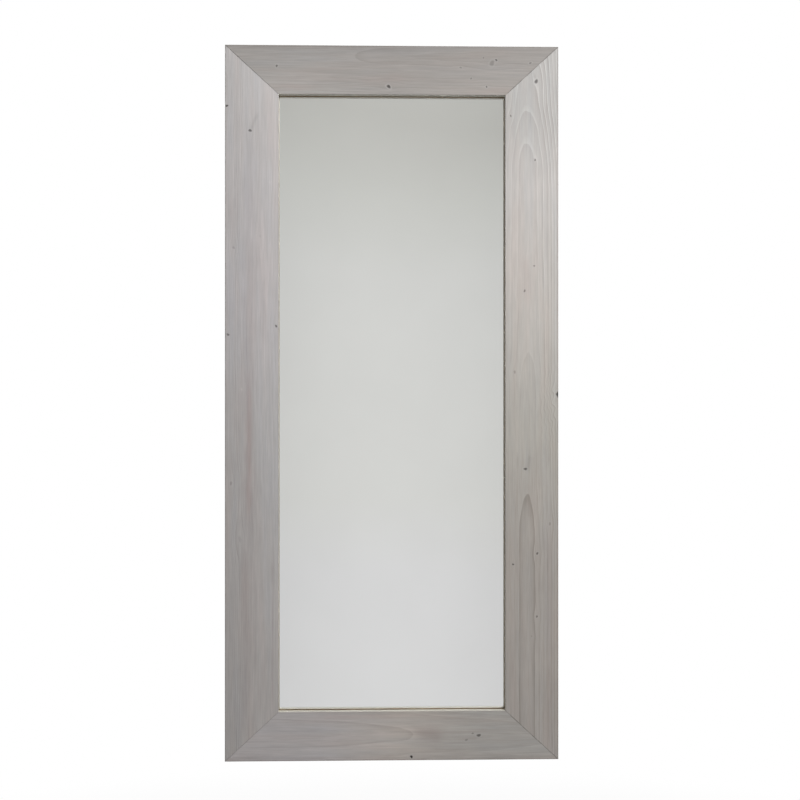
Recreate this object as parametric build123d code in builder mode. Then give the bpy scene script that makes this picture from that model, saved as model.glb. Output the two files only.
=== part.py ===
from build123d import *
from math import atan, cos, degrees, radians, sin
import os

# An upright wall mirror: four mitred softwood boards round a mirror pane, closed at the back
# by a board under turn buttons, and hung by two D-rings.
# All lengths are in millimetres. X runs to the right, Z up, and the front looks along -Y.
# The origin is on the wall, halfway between the pivots of the two D-rings.

# Driving dimensions of the frame
frame_width = 700.0
frame_height = 1500.0
board_thickness = 30.0
stile_width = 112.0
rail_width = 103.0
rebate_width = 10.0
outer_arris = 1.6
sight_arris = 1.1
mitre_chamfer = 0.4

# How the frame hangs: the D-rings' pivots below the top edge, and the stand-off from the wall
pivot_below_top = 300.0
bumper_height = 8.0
bumper_radius = 8.0
bumper_recess_radius = 2.5
bumper_recess_depth = 3.0
bumper_chamfer = 1.0
bumper_inset = 20.0

# What fills the rebate, from the lip to the back
tape_thickness = 2.0
tape_width = 4.5
tape_setback = 1.5
tape_butt_gap = 0.2
pane_thickness = 4.0
pane_arris = 0.6
pane_edge_gap = 3.0
cushion_thickness = 2.0
backing_thickness = 4.0
backing_edge_gap = 1.5
setting_block_length = 60.0
setting_block_from_corner = 90.0
spacer_length = 30.0
spacer_from_corner = 160.0

# Dowels across the mitres
dowel_radius = 4.0
dowel_length = 40.0
dowel_spacing = 56.0
dowel_behind_front = 11.0
dowel_glue_gap = 0.1
dowel_end_gap = 1.0
dowel_end_chamfer = 0.8

# Corner plates
plate_leg = 75.0
plate_width = 16.0
plate_thickness = 2.0
plate_end_radius = 3.0
plate_first_screw = 22.0
plate_screw_pitch = 34.0
plate_screws_per_leg = 2

# Turn buttons
button_width = 12.0
button_thickness = 1.5
button_tongue = 26.0
button_screw_from_rebate = 12.0
button_gap = 0.3
button_end_margin = 130.0
buttons_per_stile = 3
rail_button_margin = 120.0
buttons_per_rail = 2

# D-ring hangers
strap_width = 15.0
strap_sheet = 1.2
strap_length = 52.0
strap_end_radius = 5.0
strap_first_screw = 27.0
strap_screw_pitch = 16.0
screws_per_strap = 2
knuckle_neck = 8.0
neck_outer_angle = -35.0
neck_inner_angle = 165.0
ring_wire_radius = 1.5
ring_half_width = 10.5
ring_leg = 6.0
ring_bend = 2.5
ring_rest_gap = 0.3

# Screws: shank radius, length under the head, head radius, head height
plate_screw = dict(shank=1.6, length=12.0, head=3.3, height=1.8)
button_screw = dict(shank=1.75, length=16.0, head=3.5, height=2.2)
hanger_screw = dict(shank=2.0, length=18.0, head=4.0, height=2.5)
pilot_gap = 0.05
pilot_end_gap = 0.5
running_gap = 0.08
cross_width = 0.9
cross_share = 0.6
cross_depth = 1.1
screw_tip = 3.0
head_crown_share = 0.75
head_shoulder_share = 0.45

# Places that follow from the sizes: the rebate takes the tape, the pane and what backs it
rebate_depth = tape_thickness + pane_thickness + cushion_thickness + backing_thickness
top_z = pivot_below_top
bottom_z = top_z - frame_height
middle_z = (top_z + bottom_z) / 2
half_width = frame_width / 2
opening_width = frame_width - 2 * stile_width
opening_height = frame_height - 2 * rail_width
rebate_half_width = opening_width / 2 + rebate_width
rebate_half_height = opening_height / 2 + rebate_width
pane_half_width = rebate_half_width - pane_edge_gap
pane_half_height = rebate_half_height - pane_edge_gap

# Distances in front of the wall
back_face = bumper_height
front_face = back_face + board_thickness
lip_back = back_face + rebate_depth
pane_front = lip_back - tape_thickness
pane_back = pane_front - pane_thickness
cushion_back = pane_back - cushion_thickness

# The middle lines of what the rebate leaves of each board's back
stile_middle = half_width - (stile_width - rebate_width) / 2
rail_middle = frame_height / 2 - (rail_width - rebate_width) / 2

# The straps lie on the wood, and each ring hangs just clear of its strap
strap_thickness = 2 * strap_sheet
ring_pivot = back_face - strap_thickness - ring_rest_gap - ring_wire_radius
knuckle_bore = ring_wire_radius + running_gap
knuckle_radius = knuckle_bore + strap_sheet

corners = {
    "top_left": (-1, 1),
    "top_right": (1, 1),
    "bottom_left": (-1, -1),
    "bottom_right": (1, -1),
}


def at(distance):
    """The plane that lies this far in front of the wall, looking out to the front."""
    return Plane.XZ.offset(distance)


def towards_back(x, z, distance):
    """A plane at a point this far in front of the wall, looking back at the wall."""
    return Plane(origin=(x, -distance, z), x_dir=(1, 0, 0), z_dir=(0, 1, 0))


def save(part, name):
    part.label = name
    export_step(part, f"parts/{name}.step")


def corner_points(side, level):
    """The outer and the inner end of a mitre, as (x, z)."""
    outer = Vector(side * half_width, middle_z + level * frame_height / 2)
    inner = Vector(side * opening_width / 2, middle_z + level * opening_height / 2)
    return outer, inner


def dowel_planes(side, level):
    """The middle of each dowel of a corner, looking along the dowel, square to the mitre."""
    outer, inner = corner_points(side, level)
    along = (inner - outer).normalized()
    across = Vector(-along.Y, along.X)
    middle = (inner + outer) / 2
    planes = []
    for step in (-0.5, 0.5):
        place = middle + along * (step * dowel_spacing)
        origin = (place.X, -(front_face - dowel_behind_front), place.Y)
        planes.append(Plane(origin=origin, z_dir=(across.X, 0, across.Y)))
    return planes


def plate_screw_points(side, level, leg):
    """The (x, z) of a corner plate's two screws on its leg along the rail or the stile."""
    x = side * stile_middle
    z = middle_z + level * rail_middle
    points = []
    for k in range(plate_screws_per_leg):
        reach = plate_first_screw + k * plate_screw_pitch
        if leg == "rail":
            points.append((x - side * reach, z))
        else:
            points.append((x, z - level * reach))
    return points


def spread(count, half_span):
    """Evenly spaced places from -half_span to half_span, or one at the middle."""
    if count == 1:
        return [0.0]
    return [half_span * (2 * k / (count - 1) - 1) for k in range(count)]


def button_places():
    """Each turn button's name, the (x, z) of its screw and the way its tongue points."""
    places = {}
    x = rebate_half_width + button_screw_from_rebate
    for side, word in ((-1, "left"), (1, "right")):
        for k, z in enumerate(spread(buttons_per_stile, rebate_half_height - button_end_margin)):
            places[f"turn_button_{word}_{k + 1}"] = (side * x, middle_z + z, (-side, 0))
    z = rebate_half_height + button_screw_from_rebate
    for level, word in ((1, "top"), (-1, "bottom")):
        for k, x in enumerate(spread(buttons_per_rail, rebate_half_width - rail_button_margin)):
            places[f"turn_button_{word}_{k + 1}"] = (x, middle_z + level * z, (0, -level))
    return places


def strap_screw_points(side):
    """The (x, z) of the screws of one D-ring's strap, below its pivot."""
    x = side * stile_middle
    return [(x, -strap_first_screw - k * strap_screw_pitch) for k in range(screws_per_strap)]


# The four boards of the frame, each with its rebate, dowel holes and pilot holes
def screws_in_stile(side):
    """Pilot holes in one stile: (x, z, screw, how far the head's seat stands off the wood)."""
    holes = []
    for level in (1, -1):
        for x, z in plate_screw_points(side, level, "stile"):
            holes.append((x, z, plate_screw, plate_thickness))
    for x, z, tongue in button_places().values():
        if tongue[0] == -side:
            holes.append((x, z, button_screw, button_thickness + 2 * button_gap))
    for x, z in strap_screw_points(side):
        holes.append((x, z, hanger_screw, strap_thickness))
    return holes


def screws_in_rail(level):
    """Pilot holes in one rail, as in a stile."""
    holes = []
    for side in (1, -1):
        for x, z in plate_screw_points(side, level, "rail"):
            holes.append((x, z, plate_screw, plate_thickness))
    for x, z, tongue in button_places().values():
        if tongue[1] == -level:
            holes.append((x, z, button_screw, button_thickness + 2 * button_gap))
    return holes


def make_board(name, outline, lengthwise, outwards, own_corners, screws):
    """One mitred board; outwards is the axis that sorts its edges from sight edge to outside."""
    with BuildPart() as board:
        with BuildSketch(at(back_face)):
            with BuildLine():
                Polyline(*outline, close=True)
            make_face()
        extrude(amount=board_thickness)
        with BuildSketch(at(back_face)):
            with Locations((0, middle_z)):
                Rectangle(2 * rebate_half_width, 2 * rebate_half_height)
        extrude(amount=rebate_depth, mode=Mode.SUBTRACT)

        front = board.faces().sort_by(Axis.Y)[0]
        long_edges = front.edges().filter_by(lengthwise)
        chamfer(front.edges() - long_edges, length=mitre_chamfer)

        front = board.faces().sort_by(Axis.Y)[0]
        fillet(front.edges().filter_by(lengthwise).sort_by(outwards)[0], radius=sight_arris)
        front = board.faces().sort_by(Axis.Y)[0]
        fillet(front.edges().filter_by(lengthwise).sort_by(outwards)[-1], radius=outer_arris)
        back = board.faces().sort_by(Axis.Y)[-1]
        fillet(back.edges().filter_by(lengthwise).sort_by(outwards)[-1], radius=outer_arris)

        for side, level in own_corners:
            with Locations(*dowel_planes(side, level)):
                Cylinder(
                    dowel_radius + dowel_glue_gap,
                    dowel_length + 2 * dowel_end_gap,
                    mode=Mode.SUBTRACT,
                )
        for x, z, screw, stand_off in screws:
            depth = screw["length"] - stand_off + pilot_end_gap
            with Locations(towards_back(x, z, back_face + depth / 2)):
                Cylinder(screw["shank"] + pilot_gap, depth, mode=Mode.SUBTRACT)
    save(board.part, name)


def make_frame():
    ends = {word: corner_points(*corner) for word, corner in corners.items()}
    for side, word in ((-1, "left"), (1, "right")):
        top_outer, top_inner = ends[f"top_{word}"]
        low_outer, low_inner = ends[f"bottom_{word}"]
        outline = [(p.X, p.Y) for p in (low_outer, top_outer, top_inner, low_inner)]
        make_board(
            f"{word}_stile",
            outline,
            Axis.Z,
            Axis((0, 0, 0), (side, 0, 0)),
            [(side, 1), (side, -1)],
            screws_in_stile(side),
        )
    for level, word in ((1, "top"), (-1, "bottom")):
        left_outer, left_inner = ends[f"{word}_left"]
        right_outer, right_inner = ends[f"{word}_right"]
        outline = [(p.X, p.Y) for p in (left_outer, right_outer, right_inner, left_inner)]
        make_board(
            f"{word}_rail",
            outline,
            Axis.X,
            Axis((0, 0, 0), (0, 0, level)),
            [(-1, level), (1, level)],
            screws_in_rail(level),
        )


# Beech dowels, two across each mitre, with chamfered ends
def make_dowels():
    for word, (side, level) in corners.items():
        with BuildPart() as dowels:
            with Locations(*dowel_planes(side, level)):
                Cylinder(dowel_radius, dowel_length)
            chamfer(dowels.edges().filter_by(GeomType.CIRCLE), length=dowel_end_chamfer)
        save(dowels.part, f"{word}_dowels")


# Flat steel angle plates across the back of each mitre, countersunk for their screws
def make_corner_plates():
    sink_slope = (plate_screw["head"] - plate_screw["shank"]) / plate_screw["height"]
    for word, (side, level) in corners.items():
        x = side * stile_middle
        z = middle_z + level * rail_middle
        reach = plate_leg - plate_width / 2
        with BuildPart() as plate:
            with BuildSketch(at(back_face)):
                with Locations((x - side * (reach - plate_width / 2) / 2, z)):
                    Rectangle(plate_leg, plate_width)
                with Locations((x, z - level * (reach - plate_width / 2) / 2)):
                    Rectangle(plate_width, plate_leg)
            extrude(amount=-plate_thickness)
            far_x = Axis((x, 0, z), (-side, 0, 0))
            far_z = Axis((x, 0, z), (0, 0, -level))
            uprights = plate.edges().filter_by(Axis.Y)
            fillet(uprights.sort_by(far_x)[-2:], radius=plate_end_radius)
            uprights = plate.edges().filter_by(Axis.Y)
            fillet(uprights.sort_by(far_z)[-2:], radius=plate_end_radius)
            points = plate_screw_points(side, level, "rail")
            points += plate_screw_points(side, level, "stile")
            for px, pz in points:
                with Locations(towards_back(px, pz, back_face - plate_thickness)):
                    CounterSinkHole(
                        radius=plate_screw["shank"] + pilot_gap,
                        counter_sink_radius=plate_screw["head"] + pilot_gap,
                        depth=plate_thickness,
                        counter_sink_angle=2 * degrees(atan(sink_slope)),
                    )
        save(plate.part, f"corner_plate_{word}")


# Screws are turned round their own axis: local Z runs out of the head, Z = 0 at the head's top
def screw_profile(screw, countersunk):
    """Half of a screw's section as (radius, height) points, from the head's middle to the tip."""
    under = -screw["height"] if not countersunk else 0.0
    tip = under - screw["length"]
    points = [(0, 0), (screw["head"], 0)]
    if countersunk:
        points.append((screw["shank"], -screw["height"]))
    else:
        points = [(0, 0), (head_crown_share * screw["head"], 0)]
        points.append((screw["head"], -head_shoulder_share * screw["height"]))
        points.append((screw["head"], under))
        points.append((screw["shank"], under))
    points.append((screw["shank"], tip + screw_tip))
    points.append((0, tip))
    return points


def make_screws(name, screw, countersunk, heads):
    """Screws of one kind; heads is a list of (x, z, distance of the head's top from the wall)."""
    with BuildPart() as screws:
        for x, z, distance in heads:
            seat = towards_back(x, z, distance)
            section = Plane(origin=seat.origin, x_dir=(1, 0, 0), z_dir=(0, 0, 1))
            with BuildSketch(section):
                with BuildLine():
                    Polyline(*screw_profile(screw, countersunk), close=True)
                make_face()
            revolve(axis=Axis(seat.origin, seat.z_dir), mode=Mode.ADD)
            with BuildSketch(seat):
                Rectangle(2 * cross_share * screw["head"], cross_width)
                Rectangle(cross_width, 2 * cross_share * screw["head"])
            extrude(amount=-cross_depth, mode=Mode.SUBTRACT)
    save(screws.part, name)


def make_all_screws():
    plate_heads = []
    for side, level in corners.values():
        for leg in ("rail", "stile"):
            for x, z in plate_screw_points(side, level, leg):
                plate_heads.append((x, z, back_face - plate_thickness))
    make_screws("corner_plate_screws", plate_screw, True, plate_heads)

    button_top = back_face - button_thickness - 2 * button_gap
    button_heads = [
        (x, z, button_top - button_screw["height"]) for x, z, tongue in button_places().values()
    ]
    make_screws("turn_button_screws", button_screw, False, button_heads)

    strap_top = back_face - strap_thickness
    hanger_heads = []
    for side in (-1, 1):
        for x, z in strap_screw_points(side):
            hanger_heads.append((x, z, strap_top - hanger_screw["height"]))
    make_screws("hanger_screws", hanger_screw, False, hanger_heads)


# The pane, what it rests on, and what lies behind it
def make_slab(name, half_x, half_z, distance, thickness, arris):
    """A rectangular sheet whose front is this far in front of the wall."""
    with BuildPart() as slab:
        with BuildSketch(at(distance)):
            with Locations((0, middle_z)):
                Rectangle(2 * half_x, 2 * half_z)
        extrude(amount=-thickness)
        if arris:
            rims = slab.faces().sort_by(Axis.Y)
            chamfer(rims[0].edges() + rims[-1].edges(), length=arris)
    save(slab.part, name)


def make_tape():
    inner_x = opening_width / 2 + tape_setback
    inner_z = opening_height / 2 + tape_setback
    with BuildPart() as tape:
        with BuildSketch(at(pane_front)):
            for side in (-1, 1):
                with Locations((side * (inner_x + tape_width / 2), middle_z)):
                    Rectangle(tape_width, 2 * (inner_z + tape_width))
        extrude(amount=tape_thickness)
        with BuildSketch(at(pane_front)):
            for level in (-1, 1):
                with Locations((0, middle_z + level * (inner_z + tape_width / 2))):
                    Rectangle(2 * inner_x - 2 * tape_butt_gap, tape_width)
        extrude(amount=tape_thickness)
    save(tape.part, "glazing_tape")


def make_packers():
    """Rubber blocks in the gap between the pane's edge and the rebate."""
    low_z = middle_z - rebate_half_height + pane_edge_gap / 2
    with BuildPart() as blocks:
        with BuildSketch(at(pane_back)):
            for side in (-1, 1):
                with Locations((side * (rebate_half_width - setting_block_from_corner), low_z)):
                    Rectangle(setting_block_length, pane_edge_gap)
        extrude(amount=pane_thickness)
    save(blocks.part, "setting_blocks")

    with BuildPart() as spacers:
        with BuildSketch(at(pane_back)):
            for side in (-1, 1):
                for level in (-1, 1):
                    x = side * (rebate_half_width - pane_edge_gap / 2)
                    z = middle_z + level * (rebate_half_height - spacer_from_corner)
                    with Locations((x, z)):
                        Rectangle(pane_edge_gap, spacer_length)
        extrude(amount=pane_thickness)
    save(spacers.part, "edge_spacers")


def make_filling():
    make_tape()
    make_slab(
        "mirror_pane",
        pane_half_width,
        pane_half_height,
        pane_front,
        pane_thickness,
        pane_arris,
    )
    make_packers()
    make_slab(
        "cushion_sheet", pane_half_width, pane_half_height, pane_back, cushion_thickness, 0.0
    )
    make_slab(
        "backing_board",
        rebate_half_width - backing_edge_gap,
        rebate_half_height - backing_edge_gap,
        cushion_back,
        backing_thickness,
        0.0,
    )


# Turn buttons: a round-ended steel tongue that swivels on its screw
def make_buttons():
    for name, (x, z, tongue) in button_places().items():
        reach = button_tongue - button_width / 2
        with BuildPart() as button:
            with BuildSketch(at(back_face - button_gap)):
                middle = (x + tongue[0] * reach / 2, z + tongue[1] * reach / 2)
                SlotCenterPoint(middle, (x, z), button_width)
            extrude(amount=-button_thickness)
            with Locations(towards_back(x, z, back_face - button_gap - button_thickness / 2)):
                Cylinder(
                    button_screw["shank"] + running_gap, button_thickness, mode=Mode.SUBTRACT
                )
        save(button.part, name)


# D-ring hangers: a strap folded round the ring's straight side, and the ring itself
def on_knuckle(angle):
    """A point of the knuckle's outside, as (y, z), at this angle from the wall side upwards."""
    y = -ring_pivot + knuckle_radius * cos(radians(angle))
    return y, knuckle_radius * sin(radians(angle))


def make_straps():
    for side, word in ((-1, "left"), (1, "right")):
        x = side * stile_middle
        section = Plane(origin=(x, 0, 0), x_dir=(0, 1, 0), z_dir=(1, 0, 0))
        wood = -back_face
        with BuildPart() as strap:
            with BuildSketch(section):
                with Locations((wood + strap_thickness / 2, -(strap_length + knuckle_neck) / 2)):
                    Rectangle(strap_thickness, strap_length - knuckle_neck)
                with BuildLine():
                    Polyline(
                        (wood, -knuckle_neck),
                        (wood + strap_thickness, -knuckle_neck),
                        on_knuckle(neck_outer_angle),
                        (-ring_pivot, 0),
                        on_knuckle(neck_inner_angle),
                        close=True,
                    )
                make_face()
                with Locations((-ring_pivot, 0)):
                    Circle(knuckle_radius)
                with Locations((-ring_pivot, 0)):
                    Circle(knuckle_bore, mode=Mode.SUBTRACT)
            extrude(amount=strap_width / 2, both=True)
            foot = strap.edges().filter_by(Axis.Y).group_by(Axis.Z)[0]
            fillet(foot, radius=strap_end_radius)
            for px, pz in strap_screw_points(side):
                with Locations(towards_back(px, pz, back_face - strap_thickness / 2)):
                    Cylinder(
                        hanger_screw["shank"] + pilot_gap, strap_thickness, mode=Mode.SUBTRACT
                    )
        save(strap.part, f"hanger_strap_{word}")


def make_rings():
    for side, word in ((-1, "left"), (1, "right")):
        x = side * stile_middle
        with BuildPart() as ring:
            with BuildLine(Plane(origin=(x, -ring_pivot, 0), x_dir=(1, 0, 0), z_dir=(0, -1, 0))):
                FilletPolyline(
                    (0, 0),
                    (ring_half_width, 0),
                    (ring_half_width, -ring_leg),
                    radius=ring_bend,
                )
                ThreePointArc(
                    (ring_half_width, -ring_leg),
                    (0, -ring_leg - ring_half_width),
                    (-ring_half_width, -ring_leg),
                )
                FilletPolyline(
                    (-ring_half_width, -ring_leg),
                    (-ring_half_width, 0),
                    (0, 0),
                    radius=ring_bend,
                )
            with BuildSketch(Plane(origin=(x, -ring_pivot, 0), x_dir=(0, 1, 0), z_dir=(1, 0, 0))):
                Circle(ring_wire_radius)
            sweep()
        save(ring.part, f"hanger_ring_{word}")


# Rubber bumpers near the corners of the back, each with a moulded recess
def make_bumpers():
    for word, (side, level) in corners.items():
        x = side * (half_width - bumper_inset)
        z = middle_z + level * (frame_height / 2 - bumper_inset)
        with BuildPart() as bumper:
            with BuildSketch(at(0)):
                with Locations((x, z)):
                    Circle(bumper_radius)
            extrude(amount=bumper_height)
            wall_rim = bumper.faces().sort_by(Axis.Y)[-1].edges()
            chamfer(wall_rim, length=bumper_chamfer)
            with BuildSketch(at(0)):
                with Locations((x, z)):
                    Circle(bumper_recess_radius)
            extrude(amount=bumper_recess_depth, mode=Mode.SUBTRACT)
        save(bumper.part, f"wall_bumper_{word}")


os.makedirs("parts", exist_ok=True)
make_frame()
make_dowels()
make_corner_plates()
make_all_screws()
make_filling()
make_buttons()
make_straps()
make_rings()
make_bumpers()
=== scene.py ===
# %% [markdown]
# # A wall mirror in a grey-washed softwood frame
#
# The real object is an upright mirror, 700 mm wide and 1500 mm high. Four wide, flat boards of
# spruce are mitred at the corners, and a grey-white wash lets the grain and the knots show.
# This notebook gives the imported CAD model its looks. It reads that model as a fixed frame,
# models the four boards and the glass again with all their detail, and gives every other part
# a finish of its own.

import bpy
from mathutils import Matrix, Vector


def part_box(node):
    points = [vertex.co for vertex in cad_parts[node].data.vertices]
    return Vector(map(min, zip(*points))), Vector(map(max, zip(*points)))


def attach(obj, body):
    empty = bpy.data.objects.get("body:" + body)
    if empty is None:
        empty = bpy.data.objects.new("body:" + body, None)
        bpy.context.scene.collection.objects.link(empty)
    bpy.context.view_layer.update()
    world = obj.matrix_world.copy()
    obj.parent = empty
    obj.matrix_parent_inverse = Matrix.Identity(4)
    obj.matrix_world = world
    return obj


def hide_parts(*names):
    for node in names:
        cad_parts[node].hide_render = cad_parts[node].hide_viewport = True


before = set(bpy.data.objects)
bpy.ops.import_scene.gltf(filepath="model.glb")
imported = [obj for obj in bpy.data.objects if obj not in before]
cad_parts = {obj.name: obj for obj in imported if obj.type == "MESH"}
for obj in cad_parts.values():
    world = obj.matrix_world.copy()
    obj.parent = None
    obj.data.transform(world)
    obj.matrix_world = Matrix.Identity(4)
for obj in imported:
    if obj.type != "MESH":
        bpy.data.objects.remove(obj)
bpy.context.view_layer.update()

# %% [markdown]
# ## The tools of the bench
#
# Blender's operators act on whatever is selected, as a modeller's hands do, so the first helpers
# put a box in place and select faces and edges by where they lie. A box that is added at its
# final size and place needs no fitting afterwards, and its object stays at the origin once its
# place has been applied to its mesh.

# %% Helpers for placing and selecting
import math

import bmesh
import bpy
import numpy as np
from mathutils import Vector, noise

MM = 0.001


def add_box(name, low, high):
    """Adds a box between two corners, with its place in its mesh, and returns its object."""
    bpy.ops.object.select_all(action="DESELECT")
    bpy.ops.mesh.primitive_cube_add(size=1, location=(low + high) / 2)
    piece = bpy.context.active_object
    piece.name = name
    piece.data.name = name
    piece.scale = high - low
    bpy.ops.object.transform_apply(location=True, rotation=True, scale=True)
    return piece


def select_edges(piece, wanted):
    """In edit mode, selects just the edges for which wanted(one end, other end) is true."""
    bpy.ops.mesh.select_mode(type="EDGE")
    bpy.ops.mesh.select_all(action="DESELECT")
    shape = bmesh.from_edit_mesh(piece.data)
    chosen = [edge for edge in shape.edges if wanted(edge.verts[0].co, edge.verts[1].co)]
    for edge in chosen:
        edge.select_set(True)
    bmesh.update_edit_mesh(piece.data)
    return len(chosen)


def select_faces(piece, wanted):
    """In edit mode, selects just the faces for which wanted(centre, normal) is true."""
    bpy.ops.mesh.select_mode(type="FACE")
    bpy.ops.mesh.select_all(action="DESELECT")
    shape = bmesh.from_edit_mesh(piece.data)
    chosen = [face for face in shape.faces if wanted(face.calc_center_median(), face.normal)]
    for face in chosen:
        face.select_set(True)
    bmesh.update_edit_mesh(piece.data)
    return len(chosen)


def cut_whole(point, normal, clear=False):
    """In edit mode, cuts the whole mesh with a plane. clear removes the side the normal points to."""
    bpy.ops.mesh.select_mode(type="FACE")
    bpy.ops.mesh.select_all(action="SELECT")
    bpy.ops.mesh.bisect(plane_co=point, plane_no=normal, use_fill=clear, clear_outer=clear)


# %% [markdown]
# ## How each board lies
#
# All four boards have the same section: a flat face, a lip over the glass and a rebate behind it.
# Only their place and direction differ, so a board is described by its outer corner, the
# direction along it and the direction across it, from the outer edge to the glass. Their lengths
# and widths are read from the CAD nodes, so that the new boards fill the same space.

# %% The boards' directions and sizes
X_RIGHT = Vector((1, 0, 0))
Z_UP = Vector((0, 0, 1))
LEFT, FRONT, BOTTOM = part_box("left_stile")[0]
RIGHT, BACK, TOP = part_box("right_stile")[1]
LIP_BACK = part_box("glazing_tape")[0].y
REBATE_WIDTH = 10 * MM
REBATE_DEPTH = BACK - LIP_BACK

LAID = {
    "left_stile": (Vector((LEFT, FRONT, BOTTOM)), Z_UP, X_RIGHT),
    "right_stile": (Vector((RIGHT, FRONT, BOTTOM)), Z_UP, -X_RIGHT),
    "top_rail": (Vector((LEFT, FRONT, TOP)), X_RIGHT, -Z_UP),
    "bottom_rail": (Vector((LEFT, FRONT, BOTTOM)), X_RIGHT, Z_UP),
}


def board_size(node):
    """The length and the width of a board, from its CAD node's box."""
    corner, along, across = LAID[node]
    low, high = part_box(node)
    size = high - low
    return abs(size.dot(along)), abs(size.dot(across))


for node in LAID:
    length, width = board_size(node)
    print(f"{node}: {length / MM:.0f} mm long, {width / MM:.0f} mm wide")

# %% [markdown]
# ## What grows in each board
#
# The knots are the landmarks of the real boards, so they are listed in millimetres: how far along the board, how far
# in from its outer edge, half their width and half their length, how dark they are from 0 to 1, and how strongly the
# grain bends round them. Some bend the grain without any dark core. A mark is a soft stroke of darker or redder
# colour: from and to along the board, its place across at both ends, half its width, how much darker and how much
# redder it makes the wood. Most marks are stains. The one along the lower edge of the bottom rail is painted shade,
# and the one along the upper edge of the top rail is simply a darker line.

# %% Knots and marks
KNOTS = {
    "right_stile": [
        (1426.6, 46.8, 3.2, 4.6, 0.75, 1.3),
        (1354.0, 100.6, 1.6, 2.8, 0.55, 0.6),
        (1261.5, 49.0, 2.0, 2.2, 0.65, 0.5),
        (1038.4, 51.0, 1.9, 2.1, 0.48, 0.6),
        (985.8, 71.2, 2.1, 2.6, 0.55, 0.8),
        (815.0, 92.0, 2.4, 3.0, 0.3, 0.7),
        (768.0, 0.5, 3.6, 7.5, 0.95, 1.8),
        (611.0, 69.5, 3.0, 3.0, 0.72, 1.0),
        (495.3, 17.9, 2.0, 3.0, 0.28, 0.9),
        (433.2, 44.7, 2.3, 2.4, 0.68, 0.7),
        (410.3, 95.8, 2.0, 2.2, 0.70, 0.5),
        (300.6, 45.4, 2.1, 2.1, 0.60, 0.5),
        (259.5, 56.5, 1.5, 1.6, 0.25, 0.4),
    ],
    "left_stile": [
        (1372.0, 4.0, 2.4, 2.6, 0.9, 0.8),
        (1320.6, 52.5, 3.0, 3.1, 0.75, 1.0),
        (1100.0, 73.4, 2.2, 3.4, 0.12, 1.6),
        (1075.0, 18.0, 2.4, 3.0, 0.24, 0.9),
        (911.0, 107.0, 2.2, 2.7, 0.75, 0.7),
        (893.0, 6.5, 2.7, 3.0, 0.62, 1.0),
        (582.0, 12.7, 2.6, 3.6, 0.25, 1.3),
        (465.0, 31.6, 3.0, 7.0, 0.12, 2.2),
    ],
    "top_rail": [
        (108.0, 43.7, 2.2, 2.4, 0.60, 0.7),
        (342.6, 85.7, 3.5, 3.5, 0.88, 1.0),
        (494.0, 45.0, 1.8, 2.2, 0.35, 0.6),
        (516.0, 68.0, 1.8, 2.2, 0.4, 0.6),
        (542.0, 24.0, 1.6, 2.0, 0.35, 0.5),
        (560.0, 35.5, 4.6, 5.0, 0.3, 1.2),
        (569.0, 28.8, 2.2, 2.2, 0.72, 0.6),
        (548.6, 85.0, 1.9, 2.0, 0.65, 0.6),
        (640.7, 34.7, 2.0, 2.5, 0.45, 0.7),
    ],
    "bottom_rail": [
        (532.0, 51.5, 3.2, 3.6, 0.70, 2.0),
        (519.0, 55.7, 1.6, 2.2, 0.42, 0.6),
        (506.0, 42.0, 2.0, 3.2, 0.35, 0.7),
        (390.5, 7.6, 2.7, 3.2, 1.0, 0.9),
    ],
}
MARKS = {
    "right_stile": [
        (612, 634, 66, 60, 4.5, 0.12, 0.0),
        (975, 1040, 66, 68, 9.0, 0.02, 0.45),
        (60, 420, 18, 20, 8.0, 0.04, 0.30),
        (1436, 1445, 50, 54, 3.0, 0.12, 0.1),
        (515, 570, 66, 66, 8.0, 0.07, 0.05),
    ],
    "left_stile": [
        (559, 757, 50, 50, 6.0, 0.05, 0.75),
        (560, 1140, 48, 52, 13.0, 0.06, 0.25),
        (130, 370, 44, 43, 8.0, 0.08, 0.30),
        (151, 381, 100, 100, 2.0, 0.12, 0.3),
        (1328, 1350, 57, 66, 3.0, 0.15, 0.0),
        (1212, 1214, 94, 94, 1.8, -0.10, 0.0),
        (778, 780, 35, 35, 2.0, -0.16, 0.0),
        (1078, 1092, 18, 20, 2.0, 0.08, 0.0),
    ],
    "top_rail": [
        (60, 150, 88, 88, 7.0, 0.02, 0.30),
        (300, 360, 70, 72, 9.0, 0.0, 0.35),
        (560, 620, 92, 92, 6.0, 0.0, 0.35),
        # a darker line along the upper edge of the top rail
        (20, 330, 4, 4, 5.0, 0.08, 0.20),
    ],
    "bottom_rail": [
        (405, 440, 56, 52, 15.0, 0.11, 0.45),
        (330, 392, 55, 55, 9.0, -0.09, 0.0),
        (225, 345, 92, 92, 5.0, 0.02, 0.40),
        # painted shade along the lower edge of the bottom rail, which faces down away from the light
        (20, 680, 3, 3, 6.0, 0.10, 0.20),
        (490, 522, 43, 46, 3.0, 0.08, 0.1),
    ],
}
print("knots:", {node: len(knots) for node, knots in KNOTS.items()})

# %% [markdown]
# ## The shape of a board
#
# A joiner planes the board, cuts the rebate, eases the long edges and saws the mitres, and the
# steps here are the same. The lip is a box. A cut marks the rebate's line, and the part
# outside it is extruded backwards to the full thickness. The long edges are bevelled, and two
# planes saw the ends off at the angle that runs from corner to corner, which isn't 45 degrees
# because the stiles are wider than the rails. Bevelling comes before the sawing, as it does on
# a real moulding, so that the eased edges meet cleanly in the mitres.

# %% Plane, rebate, ease and saw a board
OUTER_ARRIS = 1.6 * MM
SIGHT_ARRIS = 1.1 * MM
TINY = 1e-6
STILE_WIDTH = board_size("left_stile")[1]
RAIL_WIDTH = board_size("top_rail")[1]


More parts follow.
